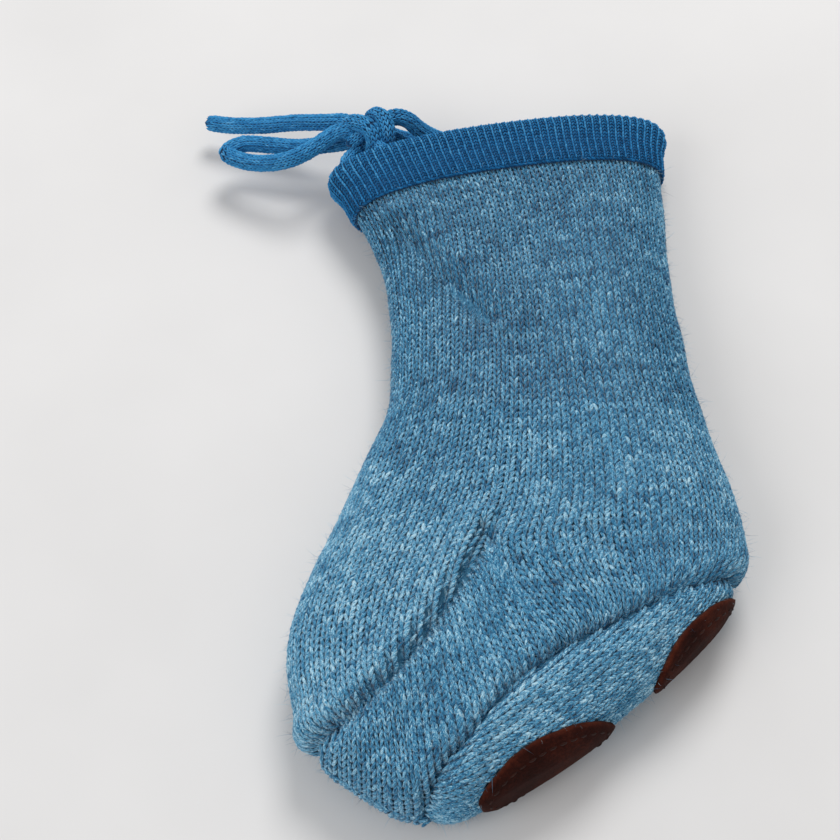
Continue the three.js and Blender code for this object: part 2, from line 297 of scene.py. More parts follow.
def relief(points, share):
    """How far the fabric stands out of the plain surface: creases, panels' fullness, dents."""
    xy = points[..., :2]
    x, y = xy[..., 0], xy[..., 1]
    d_instep, d_sole, d_fold = (distance(xy, line) for line in (instep_crease, sole_line, fold_line))
    total = mound(d_instep, height=-2.5, width=1.6) + mound(d_sole, height=-2.1, width=1.4)
    fullness = np.where(INSTEP_SIGN * d_instep > 0, 1.9, 0.7)
    total += mound(np.abs(d_instep) - 4.6, height=fullness, width=3.4)
    total += mound(np.abs(d_sole) - 5, height=1.0, width=3.6)
    total += mound(np.hypot(x - CORNER[0], y - CORNER[1]), height=-1.3, width=3.2)
    total += 0.45 * np.sin(x / 8.5 + y / 19 + 0.7) * np.sin(y / 11.5 - x / 27 + 0.4)
    total += 0.3 * np.sin(x / 5.1 - y / 8.3) * np.sin(y / 6.2 + x / 13.0 + 1.9)
    total += mound(x - 26, height=-1.08, width=9) * mound(y - 47, height=1.0, width=7)
    total *= step_up(share, 0.05, 0.16)
    total *= 1 - step_up(share, 0.93, 1.0) * 0.8
    plain = np.ones(share.shape)
    for patch in PATCHES.values():
        gap = np.linalg.norm(points - np.array([*patch["at"], SOLE_MIDDLE]), axis=-1)
        plain *= step_up(gap, patch["length"] * 0.42, patch["length"] * 0.62)
    fold = mound(d_fold, height=-2.6, width=3.8) + mound(d_fold - 7.5, height=1.6, width=4)
    upper = step_up(points[..., 2], 14.0, 19.0)
    return total * plain - 0.35 * (1 - plain) + fold * upper * step_up(share, 0.035, 0.07)


def knit_point(share, angle, out=0.0):
    """A point of the fabric's outer face and its outward normal."""
    share, angle = np.broadcast_arrays(np.asarray(share, float), np.asarray(angle, float))
    base = surface(share, angle)
    n = normal(share, angle)
    p = base + n * (relief(base, share) + out)[..., None]
    p[..., 2] = np.maximum(p[..., 2], TABLE_GAP + 0.05)
    return p, n


# ---- meshes ----------------------------------------------------------------------------
def make_mesh(name, vertices, faces, attributes=None):
    """vertices in design millimetres; faces as arrays of triangles or quads."""
    mesh = bpy.data.meshes.new(name)
    mesh.vertices.add(len(vertices))
    mesh.vertices.foreach_set("co", place(vertices).astype(np.float32).ravel())
    corners = np.concatenate([np.asarray(f).ravel() for f in faces]).astype(np.int32)
    counts = np.concatenate([np.full(len(f), f.shape[1]) for f in faces])
    starts = np.concatenate([[0], np.cumsum(counts)[:-1]]).astype(np.int32)
    mesh.loops.add(len(corners))
    mesh.loops.foreach_set("vertex_index", corners)
    mesh.polygons.add(len(counts))
    mesh.polygons.foreach_set("loop_start", starts)
    mesh.polygons.foreach_set("use_smooth", np.full(len(counts), True))
    mesh.update(calc_edges=True)
    for key, values in (attributes or {}).items():
        if values.ndim == 1:
            layer = mesh.attributes.new(key, "FLOAT", "POINT")
            layer.data.foreach_set("value", values.astype(np.float32))
        else:
            layer = mesh.attributes.new(key, "FLOAT_VECTOR", "POINT")
            layer.data.foreach_set("vector", values.astype(np.float32).ravel())
    obj = bpy.data.objects.new(name, mesh)
    bpy.context.collection.objects.link(obj)
    return obj


def tube_faces(rings, sides, closed_rings=False, offset=0):
    """Quads round a tube: ring i, point j is vertex i * sides + j."""
    span = rings if closed_rings else rings - 1
    i, j = np.meshgrid(np.arange(span), np.arange(sides), indexing="ij")
    k = (j + 1) % sides
    nxt = (i + 1) % rings
    quads = np.stack([i * sides + j, i * sides + k, nxt * sides + k, nxt * sides + j], -1)
    return quads.reshape(-1, 4) + offset


def fan(start, sides, apex, flip=False):
    """Triangles from a ring of points to one point."""
    j = start + np.arange(sides)
    k = start + (np.arange(sides) + 1) % sides
    pair = (k, j) if flip else (j, k)
    return np.stack([*pair, np.full(sides, apex)], -1)


class Yarn:
    """Gathers stitch legs, each a small closed grain, and makes one mesh of them."""

    STEPS = (-0.62, 0.0, 0.62)  # where a leg's rings are, from its middle to its ends
    TIP = 1.12
    TIP_DROP = 0.25
    SLIMMER = 0.42
    TWIST = 1.6

    def __init__(self, sides=5):
        self.sides = sides
        self.vertices, self.shade, self.local = [], [], []
        self.quads = tube_faces(3, sides)
        self.tips = np.concatenate(
            [fan(0, sides, 3 * sides, flip=True), fan(2 * sides, sides, 3 * sides + 1)]
        )

    def add(self, centre, across, along, out, half_b, half_t, lift, radius_b, radius_n, shade):
        """Legs from their middles: half_b and half_t are how far an end lies across and along."""
        count = len(centre)
        half_b, half_t, lift, radius_b, radius_n = (
            np.broadcast_to(v, count) for v in (half_b, half_t, lift, radius_b, radius_n)
        )
        direction = unit(across * half_b[:, None] + along * half_t[:, None])
        side = unit(np.cross(direction, out))
        phase = np.pi / 2 + 2 * np.pi * np.arange(self.sides) / self.sides
        jitter = rng.normal(0, 1, (count, 3))
        swell = 1 + 0.07 * jitter[:, 0]
        shift = across * (0.04 * jitter[:, 1:2]) + out * (0.03 * jitter[:, 2:3])
        seed = rng.uniform(0, 60, (count, 3))
        reach = np.hypot(half_b, half_t)

        def middle(s, rise):
            """The leg's middle line at a step, with its rise as a share of the lift."""
            at = centre + shift + across * (half_b * s)[:, None] + along * (half_t * s)[:, None]
            return at + out * (lift * rise)[:, None]

        rings, local = [], []
        for s in self.STEPS:
            size = (1 - self.SLIMMER * s * s) * swell
            for a in phase:
                dx, dn = math.cos(a) * radius_b * size, math.sin(a) * radius_n * size
                rings.append(middle(s, 1 - s * s) + side * dx[:, None] + out * dn[:, None])
                twist = a + self.TWIST * s
                strand = [np.cos(twist) * radius_b, np.sin(twist) * radius_b, s * reach]
                local.append(np.stack(strand, -1) + seed)
        for s in (-self.TIP, self.TIP):
            rings.append(middle(s, -self.TIP_DROP))
            local.append(np.stack([0 * reach, 0 * reach, s * reach], -1) + seed)
        self.vertices.append(np.stack(rings, 1))
        self.local.append(np.stack(local, 1))
        self.shade.append(shade)

    def stitches(
        self, centre, across, along, out, width, pitch, shade, flat=0.4, rise=0.4, slim=0.2
    ):
        """A V of two legs for each stitch, its point towards along."""
        for sign in (1.0, -1.0):
            self.add(
                centre + across * (sign * 0.25 * width)[:, None], across, along, out,
                -sign * 0.2 * width, 0.84 * pitch, rise, slim * width, flat,
                np.clip(shade + rng.normal(0, 0.085, len(shade)), 0, 1),
            )

    def mesh(self, name):
        """One object of all the legs, kept off the table."""
        vertices = np.concatenate(self.vertices)
        shade = np.concatenate(self.shade)
        local = np.concatenate(self.local)
        count, per = vertices.shape[:2]
        base = (np.arange(count) * per)[:, None, None]
        quads = (self.quads[None] + base).reshape(-1, 4)
        tips = (self.tips[None] + base).reshape(-1, 3)
        flat = vertices.reshape(-1, 3)
        flat[:, 2] = np.maximum(flat[:, 2], 0.6 * TABLE_GAP)
        attributes = {"heather": np.repeat(shade, per), "yarn": local.reshape(-1, 3)}
        return make_mesh(name, flat, [quads, tips], attributes)


# ---- materials -------------------------------------------------------------------------
def srgb(r, g, b):
    return tuple(
        c / 12.92 if c <= 0.04045 else ((c + 0.055) / 1.055) ** 2.4
        for c in (r / 255, g / 255, b / 255)
    ) + (1.0,)


class Nodes:
    """A node material under construction."""

    def __init__(self, name):
        self.material = bpy.data.materials.new(name)
        self.material.use_nodes = True
        self.tree = self.material.node_tree
        self.shader = self.tree.nodes["Principled BSDF"]

    def new(self, kind, inputs=None, **settings):
        node = self.tree.nodes.new(kind)
        for key, value in settings.items():
            setattr(node, key, value)
        for key, value in (inputs or {}).items():
            if isinstance(value, bpy.types.NodeSocket):
                self.tree.links.new(value, node.inputs[key])
            else:
                node.inputs[key].default_value = value
        return node

    def attribute(self, name):
        return self.new("ShaderNodeAttribute", attribute_name=name)

    def noise(self, vector, scale, detail=2.0, rough=0.5, stretch=None):
        if stretch is not None:
            vector = self.new(
                "ShaderNodeMapping", {"Vector": vector, "Scale": stretch}
            ).outputs["Vector"]
        inputs = {"Vector": vector, "Scale": scale, "Detail": detail, "Roughness": rough}
        return self.new("ShaderNodeTexNoise", inputs).outputs["Fac"]

    def math(self, operation, a, b):
        return self.new("ShaderNodeMath", {0: a, 1: b}, operation=operation).outputs[0]

    def ramp(self, factor, stops):
        node = self.new("ShaderNodeValToRGB", {"Fac": factor})
        band = node.color_ramp
        while len(band.elements) < len(stops):
            band.elements.new(0.5)
        for element, (position, colour) in zip(band.elements, stops):
            element.position = position
            element.color = colour
        return node.outputs["Color"]

    def bump(self, height, strength, distance):
        inputs = {"Height": height, "Strength": strength, "Distance": distance}
        node = self.new("ShaderNodeBump", inputs)
        self.link(node.outputs["Normal"], "Normal")

    def link(self, output, name):
        self.tree.links.new(output, self.shader.inputs[name])

    def set(self, **values):
        for key, value in values.items():
            self.shader.inputs[key.replace("_", " ")].default_value = value


def yarn_material(name, stops, spread=0.55, sheen=0.3, fibre=0.5):
    """Yarn: a colour for each leg from its heather value, with fibres running along it."""
    m = Nodes(name)
    local = m.attribute("yarn").outputs["Vector"]
    heather = m.attribute("heather").outputs["Fac"]
    strands = m.noise(local, 1.0, 2.0, 0.6, (5.2, 5.2, 0.75))
    ply = m.noise(local, 1.0, 1.0, 0.5, (2.4, 2.4, 0.5))
    streaks = m.math("MULTIPLY", m.math("SUBTRACT", strands, 0.5), 4.4 * spread)
    tone = m.math("ADD", heather, streaks)
    tone = m.math("ADD", tone, m.math("MULTIPLY", m.math("SUBTRACT", ply, 0.5), spread))
    m.link(m.ramp(tone, stops), "Base Color")
    m.bump(strands, fibre, 0.0003)
    m.set(Roughness=0.95, Sheen_Weight=sheen, Sheen_Roughness=0.5, Specular_IOR_Level=0.12)
    return m.material


WOOL_STOPS = [
    (0.0, srgb(10, 56, 88)),
    (0.3, srgb(32, 98, 138)),
    (0.55, srgb(62, 136, 175)),
    (0.8, srgb(116, 178, 208)),
    (1.0, srgb(184, 218, 232)),
]
BLUE_STOPS = [
    (0.0, srgb(6, 58, 96)),
    (0.35, srgb(18, 92, 144)),
    (0.65, srgb(38, 122, 178)),
    (1.0, srgb(86, 166, 212)),
]
CORD_STOPS = [
    (0.0, srgb(16, 86, 136)),
    (0.35, srgb(38, 120, 176)),
    (0.65, srgb(62, 148, 202)),
    (1.0, srgb(114, 186, 228)),
]


def felt_material(name, deep, pale):
    """The fabric between and behind the stitches, with small knitted bumps."""
    m = Nodes(name)
    position = m.new("ShaderNodeNewGeometry").outputs["Position"]
    fuzz = m.noise(position, 900.0, 4.0, 0.7)
    bumps = m.new("ShaderNodeTexVoronoi", {"Vector": position, "Scale": 620.0})
    m.link(m.ramp(fuzz, [(0.3, deep), (0.72, pale)]), "Base Color")
    height = m.math("SUBTRACT", fuzz, m.math("MULTIPLY", bumps.outputs["Distance"], 0.9))
    m.bump(height, 0.8, 0.0006)
    m.set(Roughness=0.97, Sheen_Weight=0.15, Sheen_Roughness=0.5, Specular_IOR_Level=0.15)
    return m.material


wool = yarn_material("wool_yarn", WOOL_STOPS)
wool_felt = felt_material("wool_felt", srgb(36, 88, 120), srgb(80, 140, 172))
blue = yarn_material("blue_yarn", BLUE_STOPS, spread=0.22, sheen=0.07, fibre=0.4)
cord_yarn = yarn_material("cord_yarn", CORD_STOPS, spread=0.16, sheen=0.1, fibre=0.4)
blue_felt = felt_material("blue_felt", srgb(6, 50, 86), srgb(22, 92, 144))


def suede_material():
    m = Nodes("brown_suede")
    position = m.new("ShaderNodeNewGeometry").outputs["Position"]
    rim = m.attribute("rim").outputs["Fac"]
    nap = m.noise(position, 1500.0, 5.0, 0.7)
    mottle = m.noise(position, 190.0, 3.0, 0.6)
    worn = m.noise(position, 60.0, 2.0, 0.5)
    tone = m.math("ADD", m.math("MULTIPLY", nap, 0.5), m.math("MULTIPLY", mottle, 0.5))
    tone = m.math("ADD", tone, m.math("MULTIPLY", m.math("SUBTRACT", worn, 0.5), 0.35))
    tone = m.math("ADD", tone, m.math("MULTIPLY", rim, 0.14))
    stops = [
        (0.28, srgb(24, 9, 7)),
        (0.5, srgb(50, 19, 13)),
        (0.68, srgb(74, 32, 20)),
        (0.95, srgb(120, 68, 46)),
    ]
    m.link(m.ramp(tone, stops), "Base Color")
    m.bump(m.math("ADD", nap, m.math("MULTIPLY", mottle, 0.8)), 0.6, 0.0005)
    m.set(Roughness=0.97, Sheen_Weight=0.03, Sheen_Roughness=0.5, Specular_IOR_Level=0.05)
    return m.material


suede = suede_material()
thread = yarn_material(
    "brown_thread",
    [(0.0, srgb(24, 9, 6)), (0.5, srgb(42, 17, 11)), (1.0, srgb(66, 32, 22))],
    spread=0.3,
    sheen=0.1,
)


def declare(obj, node, body):
    """Hides the CAD node a stiff piece stands for and hangs the piece on the body it rides."""
    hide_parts(node)
    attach(obj, body)


# ---- the cords -------------------------------------------------------------------------
def evenly(points, pitch):
    """The curve through the points, at even steps of about that length."""
    dense = through(points)(np.linspace(0, 1, 40 * len(points)))
    run = run_along(dense)
    count = max(2, int(round(run[-1] / pitch)) + 1)
    return read_at(np.linspace(0, run[-1], count), run, dense), run[-1]


def frames(path):
    """Tangent and two square directions along a path, without twist."""
    tangent = unit(np.gradient(path, axis=0))
    first = np.cross(tangent[0], (0.0, 0.0, 1.0))
    if np.linalg.norm(first) < 1e-3:
        first = np.cross(tangent[0], (0.0, 1.0, 0.0))
    sides = [unit(first)]
    for t in tangent[1:]:
        prior = sides[-1]
        sides.append(unit(prior - t * (prior @ t)))
    side = np.array(sides)
    return tangent, side, np.cross(tangent, side)


CORE_SIDES = 14
CORE_DEPTH, GRAIN_DEPTH = 0.42, 0.3  # how far under a cord's radius its core and stitches lie
END_TAPER = (0.55, 0.9)
END_POINT = 0.7
BURIED = 5.0  # how far a strand's end runs into the knot


def knit_tube(name, points, radius=CORD_RADIUS, row=1.15, columns=10, closed=False):
    """A tubular knitted cord: a soft core with stitches all the way round it."""
    path, length = evenly(points, row)
    if closed:
        path = path[:-1]
    count = len(path)
    tangent, side, over = frames(path)
    taper = np.ones(count)
    if closed:
        tangent = unit(np.roll(path, -1, 0) - np.roll(path, 1, 0))
    else:
        taper[:2], taper[-2:] = END_TAPER, END_TAPER[::-1]
    turn = 2 * np.pi * np.arange(CORE_SIDES) / CORE_SIDES
    ring = side[:, None] * np.cos(turn)[None, :, None] + over[:, None] * np.sin(turn)[None, :, None]
    ring = path[:, None] + ring * ((radius - CORE_DEPTH) * taper)[:, None, None]
    vertices = ring.reshape(-1, 3)
    faces = [tube_faces(count, CORE_SIDES, closed)]
    if not closed:
        end = len(vertices)
        tips = [path[0] - tangent[0] * END_POINT, path[-1] + tangent[-1] * END_POINT]
        vertices = np.concatenate([vertices, tips])
        faces.append(fan(0, CORE_SIDES, end, flip=True))
        faces.append(fan(end - CORE_SIDES, CORE_SIDES, end + 1))
    vertices[:, 2] = np.maximum(vertices[:, 2], TABLE_GAP)
    core = make_mesh(name, vertices, faces)

    bare = 0 if closed else 1
    i, j = np.meshgrid(np.arange(bare, count - bare), np.arange(columns), indexing="ij")
    i, j = i.ravel(), j.ravel()
    wander = 0.35 * np.sin(np.linspace(0, length / 23.0, count))[i]
    angle = 2 * np.pi * j / columns + wander
    out = side[i] * np.cos(angle)[:, None] + over[i] * np.sin(angle)[:, None]
    across = np.cross(tangent[i], out)
    centre = path[i] + out * ((radius - GRAIN_DEPTH) * taper[i])[:, None]
    width = np.full(len(i), 2 * np.pi * radius / columns) * taper[i]
    shade = np.clip(0.52 + rng.normal(0, 0.06, len(i)), 0, 1)
    yarn = Yarn(sides=4)
    yarn.stitches(centre, across, tangent[i], out, width, row, shade, flat=0.3, rise=0.16)
    grains = yarn.mesh(name + "_grains")
    return joined(core, grains, blue_felt, cord_yarn), path, length


def joined(core, grains, core_material, grain_material):
    """One object with the core's and the grains' materials."""
    core.data.materials.append(core_material)
    grains.data.materials.append(grain_material)
    with bpy.context.temp_override(
        active_object=core, selected_editable_objects=[core, grains]
    ):
        bpy.ops.object.join()
    return core


def towards_knot(point):
    """A point of the strand inside the knot, past the end of its route."""
    return point + (KNOT - point) * (BURIED / np.linalg.norm(KNOT - point))


def strand(name):
    """A loop or a tail of the bow, from inside the knot."""
    is_loop = "loop" in name
    route = [np.array(p, float) for p in BOW[name]]
    points = [towards_knot(route[0])] + route
    if is_loop:
        points.append(towards_knot(route[-1]))
    obj, path, length = knit_tube("strand_" + name, points)
    declare(obj, name, BODY_OF_STRAND[name])


for strand_name in BOW:
    strand(strand_name)


# ---- the knitted fabric ----------------------------------------------------------------
def fabric_shell(rows=150, sides=128):
    """The felted fabric under the stitches, closed at the toe and open at the cuff."""
    angles = np.linspace(0, 2 * np.pi, sides, endpoint=False)
    s, a = np.meshgrid(np.linspace(0, 0.995, rows), angles, indexing="ij")
    outer, _ = knit_point(s, a, -0.25)
    half = rows // 2
    s, a = np.meshgrid(np.linspace(0, 0.985, half), angles, indexing="ij")
    inner = surface(s, a) - normal(s, a) * 2.3
    inner[..., 2] = np.maximum(inner[..., 2], 2.2)
    tips = [[0.0, -103.6, 9.0], [0.0, -101.0, 9.0]]
    vertices = np.concatenate([outer.reshape(-1, 3), inner.reshape(-1, 3), tips])
    split, tip = rows * sides, len(vertices) - 2
    j = np.arange(sides)
    k = (j + 1) % sides
    faces = [
        tube_faces(rows, sides)[:, ::-1],
        tube_faces(half, sides, offset=split),
        np.stack([k, split + k, split + j, j], -1),
        fan(split - sides, sides, tip, flip=True),
        fan(tip - sides, sides, tip + 1),
    ]
    return make_mesh("knit_fabric", vertices, faces)


SHARES = np.linspace(0, 0.985, 280)
THETAS = np.linspace(0, np.pi, 121)


def arc_table(side):
    """Length round the half section from the back edge, for each share and angle."""
    s, t = np.meshgrid(SHARES, THETAS, indexing="ij")
    p = surface(s, side * t)
    steps = np.linalg.norm(np.diff(p, axis=1), axis=-1)
    return np.concatenate([np.zeros((len(SHARES), 1)), np.cumsum(steps, 1)], 1)


def theta_at(table, share, from_back):
    """The angle at that length from the back edge, for matching arrays."""
    out = np.empty(share.shape)
    rows = np.clip(np.searchsorted(SHARES, share), 1, len(SHARES) - 1)
    part = (share - SHARES[rows - 1]) / (SHARES[rows] - SHARES[rows - 1])
    for i in np.unique(rows):
        here = rows == i
        before = np.interp(from_back[here], table[i - 1], THETAS)
        after = np.interp(from_back[here], table[i], THETAS)
        out[here] = before + (after - before) * part[here]
    return out


def plan_to_surface(points):
    """The share and the share across of points in the plan."""
    shares = np.linspace(0, 1, 1600)
    front, back = front_edge(shares), back_edge(shares)
    span = back - front
    result = []
    for p in np.asarray(points, float):
        rel = p - front
        crossing = rel[:, 0] * span[:, 1] - rel[:, 1] * span[:, 0]
        length2 = np.maximum((span**2).sum(1), 1e-6)
        a = 2 * (rel * span).sum(1) / length2 - 1
        change = np.nonzero(np.sign(crossing[:-1]) != np.sign(crossing[1:]))[0]
        if len(change):
            k = change[np.argmin(np.abs(a[change]))]
        else:
            k = int(np.argmin(np.hypot(*(p - (front + span / 2)).T)))
        result.append((shares[k], a[k]))
    return np.array(result)


def inside_part(line):
    """The part of a seam that lies on the upper side, as share and share across."""
    found = plan_to_surface(line)
    keep = np.abs(found[:, 1]) <= 1.0
    return line[keep], found[keep]


seam_plan, sole_sa = inside_part(sole_line)
instep_plan, instep_sa = inside_part(instep_line)
corner_sa = plan_to_surface([CORNER])[0]
meet = int(np.argmin(np.hypot(*(seam_plan - SEAM_MEET).T)))
corner_at = int(np.argmin(np.hypot(*(instep_plan - CORNER).T)))


def theta_on_paths(plan):
    """Shares and angles on the upper side of paths given in the plan."""
    found = plan_to_surface(plan.reshape(-1, 2)).reshape(plan.shape)
    return found[..., 0], angle_of(found[..., 1])


def spaced(line, sa, count):
    """count places along a line at equal lengths, as share and share across."""
    run = run_along(line)
    return read_at((np.arange(count) + 0.5) / count * run[-1], run, sa)


def front_wales(table, corner_row, count):
    """Wales at even lengths from the front edge, down to the toe."""
    total = table[:, -1]
    rows = np.arange(len(SHARES))
    share = np.broadcast_to(SHARES, (count, len(SHARES)))
    f = ((np.arange(count) + 0.5) / WALES)[:, None]
    length = np.where(rows <= corner_row, total, total[corner_row])
    return share, theta_at(table, share, np.maximum(total[None, :] - f * length[None, :], 0))


def side_wales(table, first):
    """Wales from the cuff that turn at the ankle to meet the sole's seam."""
    total = table[:, -1]
    count = WALES - first
    f = (first + np.arange(count) + 0.5) / WALES
    targets = spaced(seam_plan[: meet + 1], sole_sa[: meet + 1], count)[::-1]
    target_plan = surface(targets[:, 0], angle_of(targets[:, 1]))[:, :2]
    tau = np.linspace(0, 1, 120)
    ease = step_up(tau, 0, 1)
    shares, thetas = [], []
    for k in range(count):
        leave = corner_sa[0] + (0.40 - corner_sa[0]) * float(step_up(k / count, 0.0, 0.8))
        top = np.linspace(0, leave, 160)
        top_theta = theta_at(table, top, np.interp(top, SHARES, total) * (1 - f[k]))
        leg_line = surface(top[-12:], top_theta[-12:])[:, :2]
        chord = target_plan[k] - leg_line[-1]
        heading = unit(leg_line[-1] - leg_line[0]) * np.hypot(*chord)
        curve = hermite(tau[:, None], leg_line[-1], target_plan[k], heading, chord)
        plan_share, plan_theta = theta_on_paths(curve)
        edge_share = top[-1] + (targets[k, 0] - top[-1]) * tau
        edge_theta = top_theta[-1] + (float(angle_of(targets[k, 1])) - top_theta[-1]) * ease
        w = float(step_up(k / count, 0.5, 0.85))
        shares.append(np.concatenate([top, (plan_share * (1 - w) + edge_share * w)[1:]]))
        thetas.append(np.concatenate([top_theta, (plan_theta * (1 - w) + edge_theta * w)[1:]]))
    return np.array(shares), np.array(thetas)


def picked_wales():
    """Wales picked up along the instep's seam that run to the toe's edge."""
    line, sa = instep_plan[corner_at::-1], instep_sa[corner_at::-1]
    count = int(round(run_along(line)[-1] / 2.15))
    starts = spaced(line, sa, count)
    start_plan = surface(starts[:, 0], angle_of(starts[:, 1]))[:, :2]
    toe_edge = front_edge(np.linspace(0.99, instep_sa[0, 0], 60))
    border = np.concatenate([seam_plan[meet:], toe_edge])
    end_plan = spaced(border, border, count)
    t = np.linspace(0, 1, 90)[None, :, None]
    return theta_on_paths(start_plan[:, None] + (end_plan - start_plan)[:, None] * t)


def sole_wales(table, widest=14, width=2.1):
    """Wales beside the back edge, from the heel to the toe."""
    low = SHARES[SHARES > sole_sa[0, 0] - 0.02]
    share = np.broadcast_to(low, (widest, len(low)))
    length = np.broadcast_to((np.arange(widest) + 0.5)[:, None] * width, share.shape)
    return share, theta_at(table, share, length)


def wale_families(side):
    """Each family is the shares and angles of its wales, one row for each."""
    table = arc_table(side)
    corner_row = int(np.searchsorted(SHARES, corner_sa[0]))
    at_corner = table[corner_row]
    from_front = at_corner[-1] - np.interp(float(angle_of(corner_sa[1])), THETAS, at_corner)
    front_count = int(round(WALES * from_front / at_corner[-1]))
    return {
        "front": front_wales(table, corner_row, front_count),
        "side": side_wales(table, front_count),
        "picked": picked_wales(),
        "sole": sole_wales(table),
    }


def resample(share, theta, side, start, pitch):
    """Stitch places down each wale of a family: centre, directions and width for each."""
    p, n = knit_point(share, side * theta)
    gap = np.empty(share.shape)
    gap[1:-1] = np.linalg.norm(p[2:] - p[:-2], axis=-1) / 2
    gap[0] = np.linalg.norm(p[1] - p[0], axis=-1)
    gap[-1] = np.linalg.norm(p[-1] - p[-2], axis=-1)
    out = {"p": [], "n": [], "t": [], "w": [], "share": [], "row": [], "wale": []}
    for k in range(len(p)):
        run = run_along(p[k])
        at = np.arange(start, run[-1] - 0.3, pitch)
        if len(at) < 2:
            continue
        out["p"].append(read_at(at, run, p[k]))
        out["n"].append(unit(read_at(at, run, n[k])))
        out["t"].append(unit(read_at(at, run, np.gradient(p[k], axis=0))))
        out["w"].append(np.interp(at, run, gap[k]))
        out["share"].append(np.interp(at, run, share[k]))
        out["row"].append(np.arange(len(at)))
        out["wale"].append(np.full(len(at), k))
    return {key: np.concatenate(v) for key, v in out.items()}


def heather_value(p, row, wale, streaks=4000):
    """Yarn colour: streaks along the rows, patches and single stitches."""
    streak = rng.normal(0, 0.03, streaks)[(row * 7 + wale // 5) % streaks]
    smooth = 0.03 * np.sin(row * 1.7 + wale / 3.3) + 0.02 * np.sin(row * 0.61 - wale / 5.1)
    cloud = 0.03 * np.sin(p[:, 0] / 7 + p[:, 1] / 11)
    return np.clip(0.5 + streak + smooth + cloud + rng.normal(0, 0.045, len(row)), 0, 1)


def sole_side(xy):
    """Positive inside the sole: it lies to the back and below of the seam."""
    return SOLE_SIGN * distance(xy, sole_line)


def instep_side(xy):
    """Positive inside the instep panel."""
    return INSTEP_SIGN * distance(xy, instep_line)


# Each panel's yarn tone: partly its own colour, with the instep and sole paler, and partly painted
# shade and light, with the leg darkened and the foot lightened.
PANEL_TONE_AND_SHADE = {"leg": -0.05, "heel_and_side": 0.04, "instep": 0.13, "sole": 0.12}
PANELS = list(PANEL_TONE_AND_SHADE)
LEG, HEEL_AND_SIDE, INSTEP, SOLE = range(4)
LEG_END = 0.33  # the share where the leg's panel ends
CUFF_START, SEAM_START = 8.6, 0.9  # how far down a wale its first stitch is
SEAM_GAP = 0.3
yarns = {key: Yarn(sides=4 if key == "leg" else 5) for key in PANELS}
stitch_places, seam_places = [], []


def panels_of(family, s):
    """Which of a family's stitches are kept, and the panel each is on."""
    d_sole, d_instep = sole_side(s["p"][:, :2]), instep_side(s["p"][:, :2])
    on_leg = s["share"] < LEG_END
    if family == "front":
        keep = (s["share"] < corner_sa[0] - 0.01) | (d_instep > SEAM_GAP)
        return keep, np.where(on_leg, LEG, INSTEP)
    if family == "side":
        return d_sole < -SEAM_GAP, np.where(on_leg, LEG, HEEL_AND_SIDE)
    if family == "picked":
        keep = (d_sole < -SEAM_GAP) & (d_instep < -SEAM_GAP)
        return keep, np.full(len(keep), HEEL_AND_SIDE)
    return d_sole > SEAM_GAP, np.full(len(d_sole), SOLE)


def knit_family(family, share, theta, side):
    start = CUFF_START if family in ("front", "side") else SEAM_START
    s = resample(share, theta, side, start, ROW)
    keep, panel = panels_of(family, s)
    keep &= ~under_patch(s["p"])
    shade = heather_value(s["p"], s["row"], s["wale"])
    across = unit(np.cross(s["t"], s["n"]))
    width = np.clip(s["w"], 1.2, 2.9)
    for index, key in enumerate(PANELS):
        here = keep & (panel == index)
        if not here.any():
            continue
        # Partly painted light: on the front wales the yarn pales smoothly from the leg to the
        # instep.
        tone_and_shade = PANEL_TONE_AND_SHADE[key]
        if family == "front":
            tone_and_shade = 0.18 * step_up(s["share"][here], 0.28, 0.55) - 0.05
        yarns[key].stitches(
            s["p"][here], across[here], s["t"][here], s["n"][here],
            width[here], ROW, shade[here] + tone_and_shade,
        )
    stitch_places.append(np.concatenate([s["p"][keep], s["n"][keep]], 1))


# Lanes of stitches beside a seam: how far across it, how high, and the tone of the yarn, darker in
# the sunk middle lane as painted shade.
SEAM_LANES = (
    (-1.5, 0.85, 0.5), (-0.75, 0.3, 0.4), (0, -0.3, 0.28), (0.75, 0.3, 0.4), (1.5, 0.85, 0.5)
)


def knit_seam(line, sa, key, side):
    """Slanting stitches along a seam, which fill it from lip to lip."""
    places = spaced(line, sa, int(run_along(line)[-1] / 1.5))
    p, n = knit_point(places[:, 0], side * angle_of(places[:, 1]))
    keep = ~under_patch(p)
    t = unit(np.gradient(p, axis=0))
    across = unit(np.cross(t, n))
    lean = np.where(np.arange(len(p)) % 2 == 0, 1.0, -1.0)
    for lane, height, tone in SEAM_LANES:
        lifted = (p + across * lane + n * height)[keep]
        yarns[key].add(
            lifted, across[keep], t[keep], n[keep], (0.4 * lean)[keep], 1.15, 0.2, 0.46, 0.4,
            np.clip(tone + rng.normal(0, 0.08, len(p)), 0, 1)[keep],
        )
        seam_places.append(lifted)


SIDES_OF_BOOTIE = (1.0, -1.0)
for side in SIDES_OF_BOOTIE:
    for family, (share, theta) in wale_families(side).items():
        knit_family(family, share, theta, side)
for side in SIDES_OF_BOOTIE:
    knit_seam(seam_plan, sole_sa, "sole", side)
for side in SIDES_OF_BOOTIE:
    knit_seam(instep_plan[: corner_at + 1], instep_sa[: corner_at + 1], "instep", side)


def bare_places(placed, furthest=1.5, clear=1.45, count=260):
    """Places on the fabric that no stitch is near, each clear of the others."""
    tree = KDTree(len(placed))
    for index, point in enumerate(placed):
        tree.insert(point, index)
    tree.balance()
    shares = np.linspace(0.045, 0.992, count)
    angles = np.linspace(0, 2 * np.pi, count, endpoint=False)
    share, angle = (g.ravel() for g in np.meshgrid(shares, angles, indexing="ij"))
    p, n = knit_point(share, angle)
    gap = np.array([tree.find(point)[2] for point in p])
    far = np.nonzero((gap > furthest) & ~under_patch(p))[0]
    chosen = []
    for index in far[np.argsort(-gap[far])]:
        if not chosen or np.linalg.norm(p[chosen] - p[index], axis=1).min() > clear:
            chosen.append(index)
    return p[chosen], n[chosen], share[chosen], angle[chosen]


